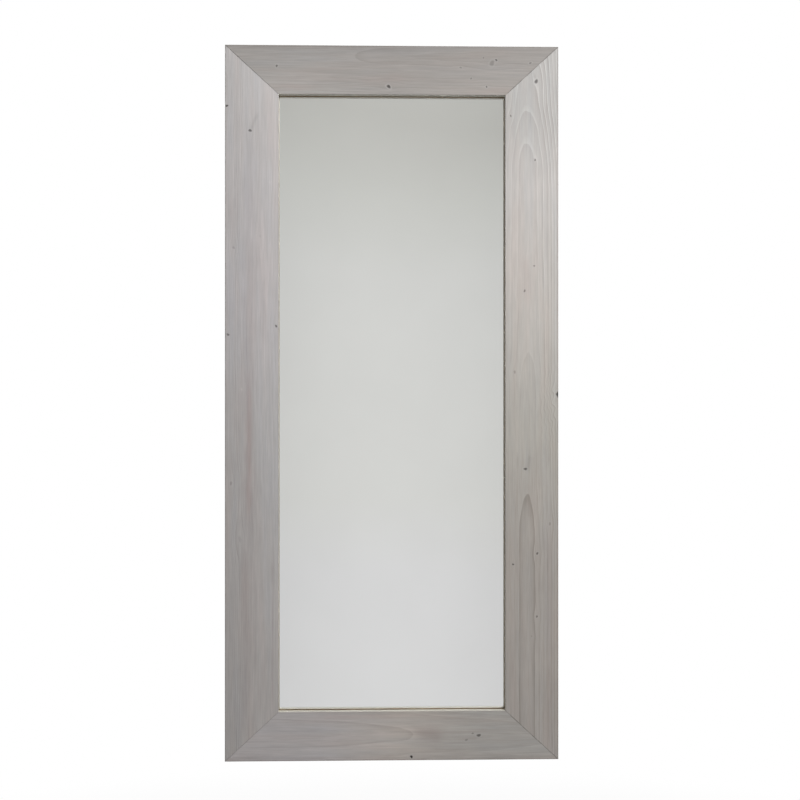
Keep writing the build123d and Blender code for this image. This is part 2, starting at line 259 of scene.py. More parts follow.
def cut_rebate(piece, corner, across, width):
    """Marks the rebate's line on the lip and extrudes what lies outside it to full thickness."""
    cut_whole(corner + across * (width - REBATE_WIDTH), across)
    select_faces(
        piece,
        lambda centre, normal: normal.y > 0.9
        and (centre - corner).dot(across) < width - REBATE_WIDTH,
    )
    bpy.ops.mesh.extrude_region_move(TRANSFORM_OT_translate={"value": (0, REBATE_DEPTH, 0)})


def ease_edges(piece, corner, along, across, width):
    """Rounds the two outer edges and the front edge beside the glass."""

    def runs_at(place, depths):
        """Says whether an edge runs along the board at this place across, on one of the depths."""
        def wanted(a, b):
            at_place = all(abs((p - corner).dot(across) - place) < TINY for p in (a, b))
            at_depth = any(abs(p.y - depth) < TINY for p in (a, b) for depth in depths)
            return at_place and at_depth and abs((a - b).dot(along)) > 0.5 * (a - b).length
        return wanted

    select_edges(piece, runs_at(0, (FRONT, BACK)))
    bpy.ops.mesh.bevel(offset=OUTER_ARRIS, segments=4, affect="EDGES")
    select_edges(piece, runs_at(width, (FRONT,)))
    bpy.ops.mesh.bevel(offset=SIGHT_ARRIS, segments=3, affect="EDGES")


def mitre_planes(corner, along, across, length, width, other_width):
    """The plane of each mitre: a point on it and the normal that points off the board's end."""
    near = (corner, across * other_width - along * width)
    far = (corner + along * length, across * other_width + along * width)
    return [(point, normal.normalized()) for point, normal in (near, far)]


def saw_mitres(planes):
    """Saws both ends off, and marks two lines beside each mitre to carry the joint's dirt."""
    for point, normal in planes:
        cut_whole(point, normal, clear=True)
    for point, normal in planes:
        for inset in (1.2 * MM, 3.0 * MM):
            cut_whole(point - normal * inset, normal)


# %% [markdown]
# The grain is painted on the board's points and a little of it is cut into its surface, so the
# mesh needs points where the grain changes. Growth rings change fast across a board and slowly
# along it. The faces are therefore cut into strips 1.5 mm wide and 5 mm long, and only round the
# knots are they cut finer. An even grid of the fine size would take ten times the faces.

# %% Divide a board for its grain
STRIP = 1.5 * MM
BACK_STRIP = 2.0 * MM
STATION = 5.0 * MM


def divide_across(piece, along, depth, least, strip):
    """Divides the edges that cross the board at one depth and are longer than least, into strips."""
    def crosses(a, b):
        flat = abs(a.y - depth) < TINY and abs(b.y - depth) < TINY
        return flat and abs((a - b).dot(along)) < 0.99 * (a - b).length and (a - b).length > least

    select_edges(piece, crosses)
    bpy.ops.mesh.subdivide(number_cuts=strip)


def divide_board(piece, along, length, width):
    """Divides the front, the back and the sides, and then all the long edges."""
    wide = width - REBATE_WIDTH
    divide_across(piece, along, FRONT, wide, round(wide / STRIP))
    divide_across(piece, along, FRONT, 4 * MM, 5)
    divide_across(piece, along, BACK, wide, round(wide / BACK_STRIP))
    select_edges(piece, lambda a, b: abs(a.y - b.y) > 5 * MM)
    bpy.ops.mesh.subdivide(number_cuts=3)
    coarse = 25 if length > 1 else 10
    fine = round(length / coarse / STATION)
    for cuts, least in ((coarse - 1, 100 * MM), (fine - 1, 10 * MM)):
        select_edges(
            piece,
            lambda a, b: abs((a - b).dot(along)) > 0.999 * (a - b).length > 0.999 * least,
        )
        bpy.ops.mesh.subdivide(number_cuts=cuts)


def refine_knots(piece, node):
    """Divides the front faces round each knot twice, finer towards the knot."""
    corner, along, across = LAID[node]
    for margin in (5 * MM, 1.5 * MM):
        def near_knot(centre, normal):
            if centre.y > FRONT + TINY or normal.y > -0.9:
                return False
            place = centre - corner
            s, t = place.dot(along) / MM, place.dot(across) / MM
            for knot_s, knot_t, half_t, half_s, dark, spread in KNOTS[node]:
                reach = max(half_t, half_s) * 1.3 + margin / MM
                if dark > 0.2 and math.hypot(s - knot_s, t - knot_t) < reach:
                    return True
            return False

        select_faces(piece, near_knot)
        bpy.ops.mesh.subdivide(number_cuts=2, quadcorner="INNERVERT")


# %% [markdown]
# Last, the front edge of each mitre gets a very small bevel. Two such bevels side by side make
# the fine V-shaped line that is seen where two boards meet.

# %% Make the four boards
MITRE_CHAMFER = 0.4 * MM


def chamfer_mitres(piece, planes):
    """Bevels the edges where the front face meets a mitre."""
    def on_mitre(a, b):
        flat = a.y < FRONT + TINY and b.y < FRONT + TINY
        return flat and any(
            all(abs((p - point).dot(normal)) < TINY for p in (a, b)) for point, normal in planes
        )

    select_edges(piece, on_mitre)
    bpy.ops.mesh.bevel(offset=MITRE_CHAMFER, segments=1, affect="EDGES")


def make_board(node):
    """Models one board in place and returns its object and its mitre planes."""
    corner, along, across = LAID[node]
    length, width = board_size(node)
    other_width = RAIL_WIDTH if node.endswith("stile") else STILE_WIDTH
    planes = mitre_planes(corner, along, across, length, width, other_width)
    low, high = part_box(node)
    piece = add_box(node + "_board", low, Vector((high.x, LIP_BACK, high.z)))
    bpy.ops.object.mode_set(mode="EDIT")
    cut_rebate(piece, corner, across, width)
    ease_edges(piece, corner, along, across, width)
    saw_mitres(planes)
    divide_board(piece, along, length, width)
    refine_knots(piece, node)
    chamfer_mitres(piece, planes)
    bpy.ops.object.mode_set(mode="OBJECT")
    return piece, planes


boards = {}
mitres = {}
for node in LAID:
    boards[node], mitres[node] = make_board(node)
    mesh = boards[node].data
    loose = sum(1 for face in mesh.polygons if len(face.vertices) > 4)
    print(node, len(mesh.vertices), "points", len(mesh.polygons), "faces", loose, "with over 4 sides")

# %% [markdown]
# ## How the wood grew
#
# A tree's growth rings are cylinders round its pith, and a board is a slice through them. Where
# the slice runs flat past the pith, the rings show as the pointed arches called cathedral grain,
# and where the pith lies far to the side, as straight lines. So each board only says where its
# pith runs: how far across, and how far behind the front face at several places along it. The
# distance to the pith, divided by the width of a ring, is a number that counts the rings. It is
# the same inside the wood, so the grain also matches on the edges and on the back.

# %% The pith and the rings of each board
PITH = {
    "right_stile": {
        "across": [(0, 66), (600, 66), (1000, 64), (1500, 67)],
        "behind": [
            (0, 17.2), (480, 16.4), (555, 23.2), (580, 24.6), (700, 25.5), (815, 27), (847, 32), (900, 33),
            (1100, 34), (1262, 35.5), (1290, 40), (1330, 43), (1356, 48), (1400, 52), (1500, 57),
        ],
    },
    "left_stile": {
        "across": [(0, 205), (400, 212), (900, 200), (1500, 214)],
        "behind": [(0, 20), (1500, 34)],
    },
    "top_rail": {
        "across": [(0, 30), (272, 21), (400, 22), (700, 26)],
        "behind": [(0, 56), (200, 48), (272, 42.0), (300, 39.5), (327, 38.5), (470, 37), (700, 36)],
    },
    "bottom_rail": {
        "across": [(0, 60), (300, 56), (400, 55), (700, 50)],
        "behind": [(0, 22), (250, 30.5), (335, 36.5), (372, 37.5), (396, 40), (420, 44), (470, 47), (700, 58)],
    },
}


def uneven_rings(width_table, last, seed):
    """The radii at which rings end, from a table of (radius, usual width) and some disorder."""
    ends = [0.0]
    while ends[-1] < last:
        usual = np.interp(ends[-1], *zip(*width_table))
        ends.append(ends[-1] + usual * (1 + 0.55 * noise.noise(Vector((len(ends) * 2.3, seed, 0.7)))))
    return ends


RING_ENDS = {
    "right_stile": [0, 12, 24, 32, 40, 48, 56] + [61 + 5.5 * n for n in range(14)],
    "left_stile": uneven_rings([(90, 6.2), (165, 5.2), (190, 3.9), (250, 3.9)], 250, 2.0),
    "top_rail": [0, 12, 24, 30, 34, 38, 42] + [60 + 5.5 * n for n in range(14)],
    "bottom_rail": [0, 16, 30.5, 40, 60, 67, 73, 80, 86, 93, 100, 107, 115, 123],
}


def smooth_curve(places, table):
    """Reads a short table of (place, value) as a smooth curve."""
    at, values = zip(*table)
    shifts = np.linspace(-22, 22, 9)
    return np.mean([np.interp(places + shift, at, values) for shift in shifts], axis=0)


def drift(s, t, along, across, seed):
    """Smooth noise from -1 to 1, with patches of these sizes along and across the board."""
    where = zip(s / along, t / across)
    return np.array([noise.noise(Vector((a, b, seed))) for a, b in where])


# %% [markdown]
# Round a knot, the rings part and close again behind it, like water round a stone. Squeezing
# the place across towards the knot before the distance is measured does that. The same step
# notes how far each point is from its nearest knot, for the dark core and its rim.

# %% Bend the grain round the knots
FAR = 4.0


def bend_round_knots(s, t, u, knots, pith):
    """Returns the bent place across, the distance to the nearest knot in radii, and its darkness."""
    bent = t.copy()
    nearest = np.full(len(s), FAR)
    darkness = np.zeros(len(s))
    for knot_s, knot_t, half_t, half_s, dark, spread in knots:
        pith_t = np.interp(knot_s, *zip(*pith["across"]))
        pith_u = np.interp(knot_s, *zip(*pith["behind"]))
        ds, dt = s - knot_s, t - knot_t - (pith_t - knot_t) * np.clip(u / pith_u, 0, 1)
        reach_s = 3 * half_s + 16 * spread
        reach_t = 2 * half_t + 7 * spread
        bent -= 0.85 * dt * np.exp(-((ds / reach_s) ** 2) - (dt / reach_t) ** 2)
        turn = np.arctan2(dt, ds)
        uneven = 1 + 0.18 * np.sin(2 * turn + knot_s) + 0.07 * np.sin(3 * turn + 2 * knot_t)
        distance = np.hypot(ds / half_s, dt / half_t) * uneven
        closer = distance < nearest
        nearest[closer] = distance[closer]
        darkness[closer] = dark
    return bent, nearest, darkness


def count_rings(node, s, t, u, seed):
    """The number of growth rings between the pith and each point, in whole rings and parts."""
    pith = PITH[node]
    bent, nearest, darkness = bend_round_knots(s, t, u, KNOTS[node], pith)
    side = bent - smooth_curve(s, pith["across"])
    behind = smooth_curve(s, pith["behind"]) + u
    radius = np.hypot(side, behind)
    radius += 1.1 * drift(s, t, 160, 22, seed) + 0.45 * drift(s, t, 45, 6, seed + 5)
    if node == "right_stile":
        ripple = np.exp(-(((s - 742) / 58) ** 2) - ((t - 20) / 17) ** 2)
        radius += 2.6 * ripple * np.sin(s / 4.6 + t / 7)
    if node == "bottom_rail":
        knot_s, knot_t = KNOTS[node][0][:2]
        away = np.hypot((s - knot_s) / 1.5, t - knot_t)
        radius += 2.2 * np.sin(away / 1.9) * np.exp(-((away / 22) ** 2))
    rings = np.interp(radius, RING_ENDS[node], np.arange(len(RING_ENDS[node])))
    return rings, nearest, darkness


# %% [markdown]
# A ring starts with pale, soft early wood and ends with a narrow dark line of late wood, where it stops sharply.
# Rings differ: a dry year leaves a bold line and a wet one a faint line. The bold spike low on the right stile is one
# such ring, so its strength is given on its own, and the others vary within a small range.

# %% The late wood
LATE_WOOD = [(0.0, 0.0), (0.42, 0.02), (0.62, 0.2), (0.82, 0.62), (0.93, 1.0), (0.985, 0.9), (1.0, 0.0)]
BOLD_RINGS = {
    "right_stile": {1: 1.25, 2: 0.34, 3: 0.30, 4: 0.34, 5: 0.40, 6: 0.48, 7: 0.42, 8: 0.50},
    "bottom_rail": {1: 0.08, 2: 0.28, 3: 0.2},
    "top_rail": {4: 0.24, 5: 0.32, 6: 0.14},
    "left_stile": {},
}
BOLD_ACROSS = {
    "right_stile": [(0, 1.3), (34, 1.1), (50, 0.60), (112, 0.50)],
    "left_stile": [(0, 0.6), (8, 1.3), (30, 1.3), (42, 0.45), (112, 0.6)],
    "top_rail": [(0, 0.9), (103, 0.9)],
    "bottom_rail": [(0, 1.0), (103, 1.0)],
}


def ring_strengths(node, rings, t, s, seed):
    """How bold each point's own ring is, from 0 to 1. It changes where a ring is palest."""
    index = np.floor(rings - 0.12).astype(int)
    strengths = {}
    for number in range(index.min(), index.max() + 1):
        wild = noise.noise(Vector((number * 3.7, seed, 0.5)))
        strengths[number] = BOLD_RINGS[node].get(number, 0.24 + 0.20 * wild)
    strength = np.vectorize(strengths.get)(index)
    broken = 1 + 0.45 * drift(s, t, 90, 14, seed + 30)
    return np.clip(strength * broken * np.interp(t, *zip(*BOLD_ACROSS[node])), 0, 1)


# How strong the pale stripe after each ring is along each board. It is caught wash and painted highlight on the
# brushed ridges, and it grows towards the top of the right stile.
GROOVE_WASH_AND_HIGHLIGHT_ALONG = {
    "right_stile": [(0, 0.1), (600, 0.15), (950, 0.8), (1250, 1.5), (1500, 1.6)],
    "left_stile": [(0, 0.5), (1500, 0.8)],
    "top_rail": [(0, 0.5), (700, 0.5)],
    "bottom_rail": [(0, 0.5), (700, 0.5)],
}


def late_wood(rings):
    """The share of late wood at each point, as the finish's own ramp has it."""
    places, shares = zip(*LATE_WOOD)
    return np.interp(rings % 1.0, places, shares)


# %% [markdown]
# The wash, the handling and the dirt don't follow the rings. They are painted on the points too: soft strokes of
# stain, and one of painted shade along the bottom edge, browner wood along the long edges, where the wash has rubbed
# off and painted shade darkens the rounded arrises, a pale lip face that is partly thick wash and partly painted
# light, a dark line in the mitres, and bare wood on the back and in the rebate, where nobody brushes a wash on.

# %% Stains, worn and shaded edges, painted light on the lip, and bare wood
def stains_and_edge_shade(s, t, marks):
    """How much darker and how much redder the marks make each point."""
    darker, redder = np.zeros(len(s)), np.zeros(len(s))
    for start, end, t_start, t_end, half, dark, red in marks:
        share = np.clip((s - start) / (end - start), 0, 1)
        aside = (t - (t_start + (t_end - t_start) * share)) / half
        aside += 0.5 * drift(s, t, 35, 3 * half, start)
        fade = max(half, 0.25 * (end - start))
        beyond = np.maximum(np.maximum(start - s, s - end), 0) / fade
        strength = np.exp(-(aside**2) - beyond**2)
        darker += dark * strength
        redder += red * strength
    return darker, redder


# The long edges are darker, partly from worn wash and partly from painted shade on the rounded arrises.
def edge_wear_and_shade(t, u, width, seed, s):
    """1 on the rounded long edges, fading within 2 mm, and broken by noise along the board."""
    outer = np.hypot(np.minimum(t, 9), np.minimum(np.minimum(u, 30 - u), 9))
    sight = np.hypot(np.minimum(width - t, 9), np.minimum(u, 9))
    rubbed_and_shaded = np.maximum(np.clip(1.35 - outer / 2.2, 0, 1), 0.25 * np.clip(1.35 - sight / 2.2, 0, 1))
    return rubbed_and_shaded * np.clip(0.75 + 0.5 * drift(s, t, 30, 9, seed + 9), 0, 1)


def lip_wash_and_light_mask(t, u, width):
    """1 on the narrow face of the lip beside the glass, where the wash has dried thick and is painted pale, partly as
    painted light that lifts these shaded faces.
    """
    return np.where((t > width - 0.01) & (u > 1.0) & (u < (LIP_BACK - FRONT) / MM + 0.01), 1.0, 0.0)


def bare_wood(t, u, width):
    """1 where the wood is bare, and 0 where it is washed."""
    lip = (LIP_BACK - FRONT) / MM
    behind_lip = (t > width - REBATE_WIDTH / MM - 0.01) & (u > lip - 0.01)
    bare = np.where(behind_lip | (u > 29.9), 1.0, 0.0)
    spill = (u > 29.9) & (t < 9)
    bare[spill] = np.clip(t[spill] / 9, 0.35, 1)
    return bare


# %% [markdown]
# A wash is brushed on after the wood has been wire-brushed, so the hard late wood stands a
# tenth of a millimetre proud and the knots lie in shallow dimples. The boards' front points are
# pushed in by that much, never out, so that the boards keep the size of the CAD model.

# %% Paint and carve the four boards
BRUSHED = 0.13 * MM
DIMPLE = 0.35 * MM
REDDER = np.array((0.0, -0.08, -0.09))
# Each board's tone along it, as red, green and blue. Part is the board's own tone and part is painted shade that
# makes the stiles darker towards their bottom ends.
TONE_AND_SHADE_ALONG = {
    "left_stile": [(0, 0.91, 0.89, 0.89), (700, 0.96, 0.96, 0.98), (950, 1.04, 1.03, 1.07), (1500, 1.03, 1.03, 1.05)],
    "right_stile": [
        (0, 0.85, 0.82, 0.79), (450, 0.84, 0.81, 0.77), (700, 0.90, 0.89, 0.84),
        (950, 1.02, 1.00, 0.97), (1210, 1.00, 0.99, 0.985), (1340, 0.83, 0.84, 0.84),
    ],
    "top_rail": [(0, 0.73, 0.72, 0.71), (140, 0.71, 0.70, 0.69), (350, 0.595, 0.58, 0.565), (700, 0.57, 0.55, 0.53)],
    "bottom_rail": [(0, 0.99, 0.97, 1.0), (200, 1.0, 0.98, 1.0), (360, 1.03, 0.985, 0.945), (540, 0.85, 0.84, 0.815)],
}
TONE_AND_SHADE_ACROSS = {"left_stile": 0.12, "right_stile": -0.02, "top_rail": 0.17, "bottom_rail": -0.03}
MITRE_DIRT = {
    "left_stile": (0.3, 1.0), "right_stile": (0.75, 0.8),
    "top_rail": (1.0, 0.8), "bottom_rail": (0.3, 0.75),
}


def points_of(mesh):
    """A mesh's points as an array of three columns."""
    flat = np.empty(len(mesh.vertices) * 3)
    mesh.vertices.foreach_get("co", flat)
    return flat.reshape(-1, 3)


def paint(mesh, name, values):
    """Writes a number or three numbers per point under a name that a material can read."""
    kind, field = ("FLOAT", "value") if values.ndim == 1 else ("FLOAT_VECTOR", "vector")
    made = mesh.attributes.new(name, kind, "POINT")
    made.data.foreach_set(field, values.astype(np.float32).ravel())


def board_tone_and_shade(node, s, t, width, darker, redder):
    """The red, green and blue by which the wash differs from its usual colour at each point: the board's own tone and
    its stains, with painted shade that darkens the stiles towards the bottom.
    """
    table = np.array(TONE_AND_SHADE_ALONG[node])
    along = np.stack([np.interp(s, table[:, 0], table[:, k]) for k in (1, 2, 3)], axis=1)
    across = 1 + TONE_AND_SHADE_ACROSS[node] * (t / width - 0.5)
    return along * (across * (1 - darker))[:, None] * (1 + redder[:, None] * REDDER)


def mitre_dirt(node, points, s, t, seed):
    """How dirty each point is: 1 in the deepest dirt of a mitre, and 0 away from both."""
    dirt = np.zeros(len(s))
    for (point, normal), strength in zip(mitres[node], MITRE_DIRT[node]):
        gap = np.abs((points - np.array(point)) @ np.array(normal))
        dirt = np.maximum(dirt, strength * np.clip(1 - gap / (1.1 * MM), 0, 1))
    return dirt * np.clip(0.7 + 1.3 * drift(s, t, 18, 18, seed + 40), 0.12, 1)


def finish_board(node, seed):
    """Paints the grain on a board's points and carves its relief."""
    piece = boards[node]
    corner, along, across = (np.array(v) for v in LAID[node])
    width = board_size(node)[1] / MM
    points = points_of(piece.data)
    place = (points - corner) / MM
    s, t, u = place @ along, place @ across, place[:, 1]
    rings, nearest, darkness = count_rings(node, s, t, u, seed)
    strength = ring_strengths(node, rings, t, s, seed)
    darker, redder = stains_and_edge_shade(s, t, MARKS[node])
    dirt = mitre_dirt(node, points, s, t, seed)
    for name, values in {
        "rings": rings,
        "ring_strength": strength,
        "groove_wash_and_highlight": strength * np.interp(s, *zip(*GROOVE_WASH_AND_HIGHLIGHT_ALONG[node])),
        "knot": nearest / FAR,
        "knot_darkness": darkness,
        "wear_and_edge_shade": edge_wear_and_shade(t, u, width, seed, s),
        "dirt": dirt,
        "bare": bare_wood(t, u, width),
        "lip": lip_wash_and_light_mask(t, u, width),
        "tone_and_shade": board_tone_and_shade(node, s, t, width, darker, redder),
        "grain_place": np.stack([t, u, s], axis=1) * MM + seed * 0.37,
    }.items():
        paint(piece.data, name, values)
    front = u < 0.02
    ridge = late_wood(rings) * strength
    dimple = np.clip(1.15 - nearest, 0, 1) * darkness
    points[:, 1] += np.where(front & (dirt == 0), BRUSHED * (1 - ridge) + DIMPLE * dimple, 0)
    piece.data.vertices.foreach_set("co", points.ravel())
    piece.data.update()
    bpy.ops.object.select_all(action="DESELECT")
    piece.select_set(True)
    bpy.context.view_layer.objects.active = piece
    bpy.ops.object.shade_smooth_by_angle(angle=math.radians(32))
    print(node, "rings", round(rings.min(), 1), "to", round(rings.max(), 1))


for seed, node in enumerate(LAID, start=1):
    finish_board(node, seed)

# %% [markdown]
# ## The mirror pane
#
# A mirror is a sheet of clear glass with silver on its back, and paint over the silver. What is
# reflected therefore seems to lie a few millimetres deep, and the lip of the frame shows twice
# with a dark line between, once itself and once as its reflection. A single shiny sheet can't
# do that, so the pane is two pieces: a glass body with ground edges, and a thin coating whose
# front is silver and whose back is paint. The coating starts inside the glass, so that light
# meets no second surface on its way.

# %% Make the glass and its coating
GLASS_BACK = 0.1 * MM
COATING = 0.3 * MM
pane_low, pane_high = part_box("mirror_pane")


def grind_edges(piece, wanted, size):
    """Bevels the edges of a sheet that are wanted."""
    bpy.ops.object.mode_set(mode="EDIT")
    select_edges(piece, wanted)
    bpy.ops.mesh.bevel(offset=size, segments=2, affect="EDGES")
    bpy.ops.object.mode_set(mode="OBJECT")


glass_high = pane_high - Vector((0, GLASS_BACK, 0))
glass = add_box("glass_pane", pane_low, glass_high)
grind_edges(glass, lambda a, b: abs(a.y - b.y) < TINY, 0.5 * MM)
inset = Vector((0.7 * MM, 0, 0.7 * MM))
coating_low = Vector((pane_low.x, pane_high.y - COATING, pane_low.z)) + inset
coating = add_box("mirror_coating", coating_low, pane_high - inset)
grind_edges(coating, lambda a, b: abs(a.y - b.y) > TINY, 1.5 * MM)
print("pane:", [round(v / MM, 1) for v in pane_high - pane_low], "mm")

# %% [markdown]
# ## Building a finish
#
# Every finish is a small net of nodes. Two helpers keep it readable: one adds a node and fills
# its inputs with numbers or with the outputs of other nodes, and the others are the few kinds of
# node that come again and again.

# %% Helpers for finishes
def grey(value):
    """A colour of equal red, green and blue."""
    return (value, value, value, 1)


def new_finish(name):
    """An empty material and its main shader."""
    finish = bpy.data.materials.new(name)
    finish.use_nodes = True
    return finish, finish.node_tree.nodes["Principled BSDF"]


def add_node(finish, kind, fill, **settings):
    """Adds a node with these settings, and fills its inputs with numbers or other outputs."""
    made = finish.node_tree.nodes.new(kind)
    for name, value in settings.items():
        setattr(made, name, value)
    for socket, value in fill.items():
        if isinstance(value, bpy.types.NodeSocket):
            finish.node_tree.links.new(value, made.inputs[socket])
        else:
            made.inputs[socket].default_value = value
    return made


def join(finish, output, socket):
    """Links an output to an input of the same finish."""
    finish.node_tree.links.new(output, socket)


def sums(finish, operation, first, second=0.0):
    """One step of arithmetic."""
    return add_node(finish, "ShaderNodeMath", {0: first, 1: second}, operation=operation).outputs[0]


def blend(finish, amount, first, second, way="MIX"):
    """Mixes two colours."""
    fill = {0: amount, 6: first, 7: second}
    return add_node(finish, "ShaderNodeMix", fill, data_type="RGBA", blend_type=way).outputs[2]


def ramp(finish, amount, stops, kind="LINEAR"):
    """Turns a number from 0 to 1 into the colours or greys of the stops."""
    made = add_node(finish, "ShaderNodeValToRGB", {"Fac": amount})
    made.color_ramp.interpolation = kind
    places = made.color_ramp.elements
    places.remove(places[1])
    for number, (place, value) in enumerate(stops):
        stop = places[0] if number == 0 else places.new(place)
        stop.position = place
        stop.color = grey(value) if isinstance(value, float) else (*value, 1)
    return made.outputs["Color"]


def cloud(finish, places, size, detail=3.0, shift=0.0):
    """Noise from 0 to 1 with patches of this size in metres, or of three sizes."""
    sizes = size if isinstance(size, tuple) else (size,) * 3
    fill = {"Vector": places, "Location": (shift,) * 3, "Scale": tuple(1 / v for v in sizes)}
    scaled = add_node(finish, "ShaderNodeMapping", fill).outputs[0]
    fill = {"Vector": scaled, "Scale": 1.0, "Detail": detail, "Roughness": 0.6}
    return add_node(finish, "ShaderNodeTexNoise", fill).outputs["Fac"]


def object_places(finish):
    """The object coordinates, which are metres in the shared frame."""
    return add_node(finish, "ShaderNodeTexCoord", {}).outputs["Object"]


def painted(finish, name, output="Fac"):
    """What was painted on the points of a piece under this name."""
    return add_node(finish, "ShaderNodeAttribute", {}, attribute_name=name).outputs[output]


def raise_surface(finish, shader, height, depth, strength=1.0):
    """Gives the shader a bump from a height between 0 and 1, this deep in metres."""
    fill = {"Height": height, "Distance": depth, "Strength": strength}
    join(finish, add_node(finish, "ShaderNodeBump", fill).outputs[0], shader.inputs["Normal"])


# %% [markdown]
# ## The grey-washed spruce
#
# The colour is built as on the real board. Bare spruce comes first, pale yellow with orange late
# wood, then the wash, which hides most of it: its early and late wood differ only a little.
# Over it go streaks of fibres, brush marks and cloudy patches where the wash lies thicker, a pale stripe after each
# ring that is partly caught wash and partly painted highlight, then the stains and each board's tone with painted
# shade that darkens the stiles towards the bottom, the long edges darkened by wear and painted shade, the lip faces
# made pale with thick wash and painted light, the dirt in the mitres and the knots. All patterns are laid out along
# the board's own grain, from what was painted on the points, so one finish fits the upright stiles and the level
# rails.

# %% The wood's patterns
wood, wood_shader = new_finish("grey_washed_spruce")
grain = painted(wood, "grain_place", "Vector")
ring_part = sums(wood, "FRACT", painted(wood, "rings"))
late = ramp(wood, ring_part, LATE_WOOD)
ring_line = sums(wood, "MULTIPLY", late, painted(wood, "ring_strength"))
fibres = cloud(wood, grain, (0.8 * MM, 0.8 * MM, 45 * MM), 4.0)
pores = cloud(wood, grain, (0.35 * MM, 0.35 * MM, 9 * MM), 2.0, 3.1)
brush_marks = cloud(wood, grain, (3.5 * MM, 3.5 * MM, 160 * MM), 3.0, 7.7)
patches = cloud(wood, grain, (32 * MM, 32 * MM, 110 * MM), 3.0, 12.3)
streaks = cloud(wood, grain, (2.6 * MM, 2.6 * MM, 55 * MM), 2.0, 31.4)
tints = cloud(wood, grain, (22 * MM, 22 * MM, 260 * MM), 2.0, 20.9)
# A pale stripe just after each late-wood line: wash caught in the groove, and painted highlight on the ridge's lit
# side.
groove_wash_and_highlight = ramp(wood, ring_part, [(0.0, 1.0), (0.10, 0.55), (0.2, 0.0)])

# %% The wood's colours
EARLY_WASHED = (0.418, 0.400, 0.386, 1)
LATE_WASHED = (0.280, 0.260, 0.243, 1)
# Pale wash: painted highlight and caught wash after the rings, and the halo round the knots
PALE_WASH_AND_RIDGE_HIGHLIGHT = (0.590, 0.575, 0.560, 1)
EARLY_BARE = (0.62, 0.46, 0.29, 1)
LATE_BARE = (0.40, 0.22, 0.10, 1)
# A pale thick wash, which is also painted light on the shaded lip faces
LIP_WASH_AND_PAINTED_LIGHT = (0.660, 0.640, 0.565, 1)
# Brown for worn edges, and also painted shade on the rounded arrises
RUBBED_AND_SHADED = (0.235, 0.205, 0.180, 1)
DIRT = (0.060, 0.052, 0.046, 1)
KNOT_CORE = (0.014, 0.010, 0.009, 1)

washed = blend(wood, ring_line, EARLY_WASHED, LATE_WASHED)
caught_wash_and_highlight = sums(wood, "MULTIPLY", groove_wash_and_highlight, painted(wood, "groove_wash_and_highlight"))
washed = blend(wood, sums(wood, "MINIMUM", caught_wash_and_highlight, 0.8), washed, PALE_WASH_AND_RIDGE_HIGHLIGHT)
washed = blend(wood, 1.0, washed, ramp(wood, fibres, [(0.28, 0.93), (0.72, 1.06)]), "MULTIPLY")
washed = blend(wood, 1.0, washed, ramp(wood, streaks, [(0.3, 0.94), (0.7, 1.05)]), "MULTIPLY")
washed = blend(wood, 1.0, washed, ramp(wood, brush_marks, [(0.3, 0.96), (0.7, 1.04)]), "MULTIPLY")
washed = blend(wood, 1.0, washed, ramp(wood, patches, [(0.3, 0.95), (0.7, 1.04)]), "MULTIPLY")
tint_colours = ramp(wood, tints, [(0.32, (0.985, 1.0, 1.02)), (0.5, (1.0, 1.0, 1.0)), (0.7, (1.02, 0.99, 0.98))])
washed = blend(wood, 1.0, washed, tint_colours, "MULTIPLY")
# Worn wash and painted shade darken the rounded long edges.
washed = blend(wood, sums(wood, "MULTIPLY", painted(wood, "wear_and_edge_shade"), 0.7), washed, RUBBED_AND_SHADED)
# The tone carries the boards' own tones, the stains, and painted shade that darkens the stiles towards the bottom.
washed = blend(wood, 1.0, washed, painted(wood, "tone_and_shade", "Color"), "MULTIPLY")
# The lip faces take a thick pale wash, partly painted light that lifts the shade on them.
thick_wash_and_painted_light = blend(wood, 1.0, LIP_WASH_AND_PAINTED_LIGHT, ramp(wood, fibres, [(0.28, 0.90), (0.72, 1.04)]), "MULTIPLY")
washed = blend(wood, painted(wood, "lip"), washed, thick_wash_and_painted_light)
bare_line = sums(wood, "MINIMUM", sums(wood, "MULTIPLY", ring_line, 3.0), 0.9)
bare = blend(wood, bare_line, EARLY_BARE, LATE_BARE)
bare = blend(wood, 1.0, bare, ramp(wood, fibres, [(0.28, 0.9), (0.72, 1.08)]), "MULTIPLY")
colour = blend(wood, painted(wood, "bare"), washed, bare)
colour = blend(wood, sums(wood, "MULTIPLY", painted(wood, "dirt"), 0.9), colour, DIRT)
halo = ramp(wood, painted(wood, "knot"), [(0.24, 0.0), (0.34, 0.24), (0.55, 0.0)])
colour = blend(wood, sums(wood, "MULTIPLY", halo, painted(wood, "knot_darkness")), colour, PALE_WASH_AND_RIDGE_HIGHLIGHT)
knot_ramp = [(0.0, 0.98), (0.15, 0.97), (0.21, 0.70), (0.27, 0.28), (0.36, 0.08), (0.6, 0.0)]
knot_amount = ramp(wood, painted(wood, "knot"), knot_ramp)
knot_amount = sums(wood, "MULTIPLY", knot_amount, painted(wood, "knot_darkness"))
colour = blend(wood, knot_amount, colour, KNOT_CORE)
join(wood, colour, wood_shader.inputs["Base Color"])

# %% [markdown]
# The sheen of a washed board is low, and lowest where the wash lies thick. The hard late wood is
# a little smoother. The bump holds only what is too fine for the mesh: fibres, open pores
# and the edge of each ring.

